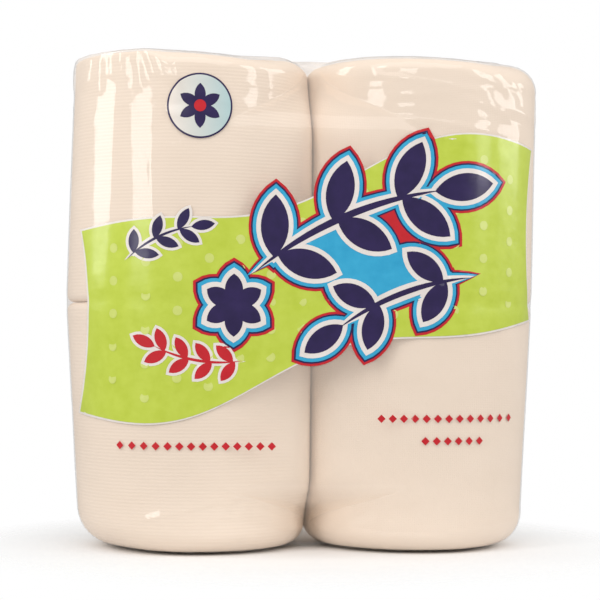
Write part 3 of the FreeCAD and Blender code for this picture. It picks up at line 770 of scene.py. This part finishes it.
def turnsTree():
    # The edges of a roll's turns on its end: one flat spiral with a thin round section
    tree = bpy.data.node_groups.new("rollTurns", "GeometryNodeTree")
    for name, kind, direction in (
        ("Geometry", "NodeSocketGeometry", "INPUT"), ("Start Radius", "NodeSocketFloat", "INPUT"),
        ("End Radius", "NodeSocketFloat", "INPUT"), ("Turns", "NodeSocketFloat", "INPUT"),
        ("Edge Radius", "NodeSocketFloat", "INPUT"), ("Place", "NodeSocketVector", "INPUT"),
        ("Material", "NodeSocketMaterial", "INPUT"), ("Edges", "NodeSocketGeometry", "OUTPUT"),
    ):
        tree.interface.new_socket(name, in_out=direction, socket_type=kind)
    given = addNode(tree, "NodeGroupInput").outputs
    spiral = addNode(tree, "GeometryNodeCurveSpiral", {}, {
        "Resolution": 56, "Rotations": given["Turns"], "Start Radius": given["Start Radius"],
        "End Radius": given["End Radius"], "Height": 0.0})
    section = addNode(tree, "GeometryNodeCurvePrimitiveCircle", {"mode": "RADIUS"}, {
        "Resolution": 6, "Radius": given["Edge Radius"]})
    edges = addNode(tree, "GeometryNodeCurveToMesh", {}, {
        "Curve": spiral.outputs["Curve"], "Profile Curve": section.outputs["Curve"], "Fill Caps": True})
    placed = addNode(tree, "GeometryNodeTransform", {}, {
        "Geometry": edges.outputs["Mesh"], "Translation": given["Place"]})
    smooth = addNode(tree, "GeometryNodeSetShadeSmooth", {}, {"Geometry": placed.outputs["Geometry"]})
    real = addNode(tree, "GeometryNodeRealizeInstances", {}, {"Geometry": smooth.outputs["Geometry"]})
    done = addNode(tree, "GeometryNodeSetMaterial", {}, {
        "Geometry": real.outputs["Geometry"], "Material": given["Material"]})
    addNode(tree, "NodeGroupOutput", {}, {"Edges": done.outputs["Geometry"]})
    return tree


def sagRim(piece):
    # The front of each column's top rim sags towards its right side.
    mesh = piece.data
    points = np.zeros(3 * len(mesh.vertices), dtype=np.float32)
    mesh.vertices.foreach_get("co", points)
    x, y, z = points[0::3] / mm, points[1::3] / mm, points[2::3] / mm
    sag = 2.9 * smoothStep(-72.0, -4.0, x) * smoothStep(12.0, 0.0, x) + 2.0 * smoothStep(15.0, 96.0, x)
    points[2::3] -= sag * smoothStep(-22.0, -40.0, y) * smoothStep(186.0, 202.0, z) * mm
    mesh.vertices.foreach_set("co", points)


def makeRoll(name, node, side, floor, tailAngle, material, tree):
    # Where a roll meets a rim of the film, its edge is rounded to fit inside it.
    around = 360.0 * np.arange(roll["cells"]) / roll["cells"]
    turn = (around - 180.0 if side > 0 else -around) % 360
    lowRadius = highRadius = roll["jointRadius"] + 0 * turn
    if floor == rollFloor:
        lowRadius = bottomRimRadius(side, turn) - film["rimInside"]
    else:
        highRadius = np.maximum(topRimRadius(side, turn) - film["rimInside"], roll["earRadius"])
    parts = [makeRollBody(name, side, floor, lowRadius, highRadius, tailAngle, material)]
    for z, radius, lift in ((floor, np.max(lowRadius), -1), (floor + rollHeight, np.max(highRadius), 1)):
        start = roll["coreRadius"] + roll["turnMargin"]
        end = columnWidth(side, z) / 2 - radius - roll["turnMargin"] / 2
        edges = makeMesh(name + "Turns", [(0, 0, 0)], [], material, smooth=False)
        runTree(edges, tree, {
            "Start Radius": start * mm, "End Radius": end * mm, "Turns": (end - start) / roll["turnPitch"],
            "Edge Radius": roll["turnRise"] * mm, "Material": material,
            "Place": (columnMiddle(side, z) * mm, 0.0, (z - lift * 0.1) * mm)})
        parts.append(edges)
    piece = joinPieces(name, parts)
    sagRim(piece)
    finishPiece(piece, "tissue", node)
    return piece


# ---- Build ----

lineTissue = tissueMaterial("embossedTissueLines", False)
dotTissue = tissueMaterial("embossedTissueDots", True)
spirals = turnsTree()
for level, floor in (("lower", rollFloor), ("upper", rollJoint)):
    for place, side, tailAngle, tissue in (("left", -1, 250.0, lineTissue), ("right", 1, 305.0, dotTissue)):
        name = "roll" + level.title() + place.title()
        makeRoll(name, "roll_" + level + "_" + place, side, floor, tailAngle, tissue, spirals)
print("rolls made")

board = coreMaterial()
for name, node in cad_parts.items():
    if name.startswith("core_"):
        for place in node.material_slots:
            place.material = board
print("cores finished")

filmPiece = makeFilm(clearFilmMaterial())
sagRim(filmPiece)
# Thin clear film lets nearly all the light through to the rolls.
filmPiece.visible_shadow = False
filmPiece.visible_diffuse = False
finishPiece(filmPiece, "clear_film", "film_wrap")
print("film made", len(filmPiece.data.polygons))

greenInk = inkMaterial("greenInk", "bccd40", "c5d54e")
paleGreenInk = inkMaterial("paleGreenInk", "cbd66e", "d3dd7c")
whiteInk = inkMaterial("offWhiteInk", "e4dbd4", "ebe3dd")
cyanInk = inkMaterial("cyanInk", "279fcb", "35abd4")
redInk = inkMaterial("redInk", "c01420", "cb1c29")
navyInk = inkMaterial("navyInk", "221546", "2b1c52")
badgeX, badgeZ = printing["badge"]
badgeRadius = printing["badgeRadius"]

piece = makePrint("greenBand", [(greenBand(0.0), 0.16)], greenInk)
finishPiece(piece, "green_ink", "print_green")

spots = []
columns = int((printing["bandRight"] - printing["bandLeft"]) / printing["dotSpacing"])
rows = int(printing["bandHeight"] / printing["dotSpacing"])
for column in range(1, columns):
    x, low = bandEdge(column / columns, False)
    high = bandEdge(column / columns, True)[1]
    for row in range(1, rows):
        spots.append((x, low + (high - low) * (row + (0.25 if column % 2 else -0.25)) / rows))
piece = makeMarks("paleGreenDots", spots, 0.19, printing["dotRadius"], 28, paleGreenInk)
finishPiece(piece, "pale_green_ink", "print_pale_green")

piece = makePrint("cyanRims", [(largeOrnaments(printing["cyanEdge"]), 0.34)], cyanInk)
finishPiece(piece, "cyan_ink", "print_cyan")

smallEdges = smallNavyOrnament(printing["smallEdge"]) + smallRedOrnament(printing["smallEdge"])
piece = makePrint("offWhiteRims", [
    (greenBand(0.7), 0.05), (largeOrnaments(printing["whiteEdge"]), 0.40), (smallEdges, 0.23)], whiteInk)
finishPiece(piece, "white_ink", "print_white")

piece = makePrint("navyFigures", [
    (largeOrnaments(printing["lineEdge"]), 0.28), (largeOrnaments(0.0), 0.46), (smallNavyOrnament(0.0), 0.28),
    ([circle(badgeX, badgeZ, badgeRadius, 72)], 0.08), (blossom(badgeX, badgeZ, 6, 9.0, 2.2, 0.0), 0.20)], navyInk)
finishPiece(piece, "navy_ink", "print_navy")

piece = makePrint("paleBlueBadge", [
    ([circle(badgeX, badgeZ, badgeRadius - printing["badgeRing"], 72)], 0.14)], badgeMaterial())
finishPiece(piece, "pale_blue_ink", "print_pale_blue")

marks = []
for startX, z, count in ((-78.0, 44.0, 14), (26.0, 55.0, 13), (44.0, 46.0, 6)):
    marks += [(startX + index * printing["markPitch"], z) for index in range(count)]
redFields = makePrint("redFigures", [
    (largeOrnaments(printing["redEdge"]), 0.23), (smallRedOrnament(0.0), 0.28),
    ([circle(badgeX, badgeZ, 2.4)], 0.26)], redInk)
redMarks = makeMarks("redMarks", marks, 0.08, printing["markHalf"], 4, redInk)
piece = joinPieces("redFigures", [redFields, redMarks])
finishPiece(piece, "red_ink", "print_red")
print("print laid")


# ---- Floor, light and camera ----

def floorMaterial():
    # Smooth white studio board with a faint tone change, which fades into the white background
    material, tree, shader, place = newMaterial("studioBoard", {"Roughness": 0.8, "Specular IOR Level": 0.2})
    cloud = noiseOf(tree, stretch(tree, place, 400.0, 400.0, 400.0))
    colour = mixColours(tree, cloud, hexToLinear("eeeeee"), hexToLinear("f1f1f1"))
    tree.links.new(colour, shader.inputs["Base Color"])
    away = addNode(tree, "ShaderNodeVectorMath", {"operation": "LENGTH"}, {0: place}).outputs["Value"]
    tree.links.new(remap(tree, away, 0.08, 0.15, 1.0, 0.0), shader.inputs["Alpha"])
    return material


floorPiece = makeMesh("studioFloor", [(-3000, -3000, 0), (3000, -3000, 0), (3000, 3000, 0), (-3000, 3000, 0)],
                      [(0, 1, 2, 3)], floorMaterial(), smooth=False)

world = bpy.data.worlds.new("studioWorld")
bpy.context.scene.world = world
world.use_nodes = True
tree = world.node_tree
tree.nodes.clear()
rays = addNode(tree, "ShaderNodeLightPath").outputs
seen = calculate(tree, "MAXIMUM", rays["Is Camera Ray"], rays["Is Transmission Ray"])
# Diffuse light comes from all round, and reflections see a dimmer room between the softboxes.
room = remap(tree, rays["Is Glossy Ray"], 0.0, 1.0, 0.56, 0.30)
soft = addNode(tree, "ShaderNodeBackground", {}, {"Color": (1, 1, 1, 1), "Strength": room})
white = addNode(tree, "ShaderNodeBackground", {}, {"Color": (1, 1, 1, 1), "Strength": 1.0})
mixed = addNode(tree, "ShaderNodeMixShader", {}, {0: seen, 1: soft.outputs[0], 2: white.outputs[0]})
addNode(tree, "ShaderNodeOutputWorld", {}, {"Surface": mixed.outputs[0]})

lights = (
    ("leftSoftbox", (-0.77, -0.64, 0.58), (0.0, 0.0, 0.58), 0.26, 0.80, 2.9),
    ("leftSideSoftbox", (-1.00, 0.07, 0.58), (0.0, 0.0, 0.58), 0.26, 0.80, 2.9),
    ("rightSoftbox", (0.88, -0.62, 0.60), (0.0, 0.0, 0.60), 0.26, 0.80, 2.6),
    ("rightSideSoftbox", (1.02, -0.05, 0.58), (0.0, 0.0, 0.50), 0.50, 0.76, 3.6),
    ("kickSoftbox", (-0.36, -0.95, 0.46), (0.0, 0.0, 0.05), 0.26, 0.20, 0.6),
    ("frontSoftbox", (-0.10, -0.66, 0.90), (0.0, 0.0, 0.16), 1.30, 0.80, 3.8),
)
for name, position, aim, width, height, power in lights:
    data = bpy.data.lights.new(name, "AREA")
    data.shape = "RECTANGLE"
    data.size = width
    data.size_y = height
    data.energy = power
    lamp = bpy.data.objects.new(name, data)
    lamp.location = position
    lamp.rotation_euler = (Vector(aim) - Vector(position)).to_track_quat("-Z", "Y").to_euler()
    collection.objects.link(lamp)

view = {"distance": 0.80, "yaw": 7.5, "height": 0.0888, "turn": -0.08, "pitch": 1.03, "roll": 0.41, "lens": 113.1}
yaw = math.radians(view["yaw"])
look = math.radians(view["yaw"] + view["turn"])
pitch = math.radians(view["pitch"])
tilt = math.radians(view["roll"])
forward = Vector((math.sin(look) * math.cos(pitch), math.cos(look) * math.cos(pitch), math.sin(pitch)))
level = Vector((math.cos(look), -math.sin(look), 0))
upright = level.cross(forward)
rightward = level * math.cos(tilt) + upright * math.sin(tilt)
upward = upright * math.cos(tilt) - level * math.sin(tilt)
cameraData = bpy.data.cameras.new("photoCamera")
cameraData.sensor_width = 36
cameraData.lens = view["lens"]
camera = bpy.data.objects.new("photoCamera", cameraData)
turned = Matrix((rightward, upward, -forward)).transposed().to_4x4()
turned.translation = (-view["distance"] * math.sin(yaw), -view["distance"] * math.cos(yaw), view["height"])
camera.matrix_world = turned
collection.objects.link(camera)
bpy.context.scene.camera = camera
bpy.context.scene.view_settings.view_transform = "Standard"
print("stage set")
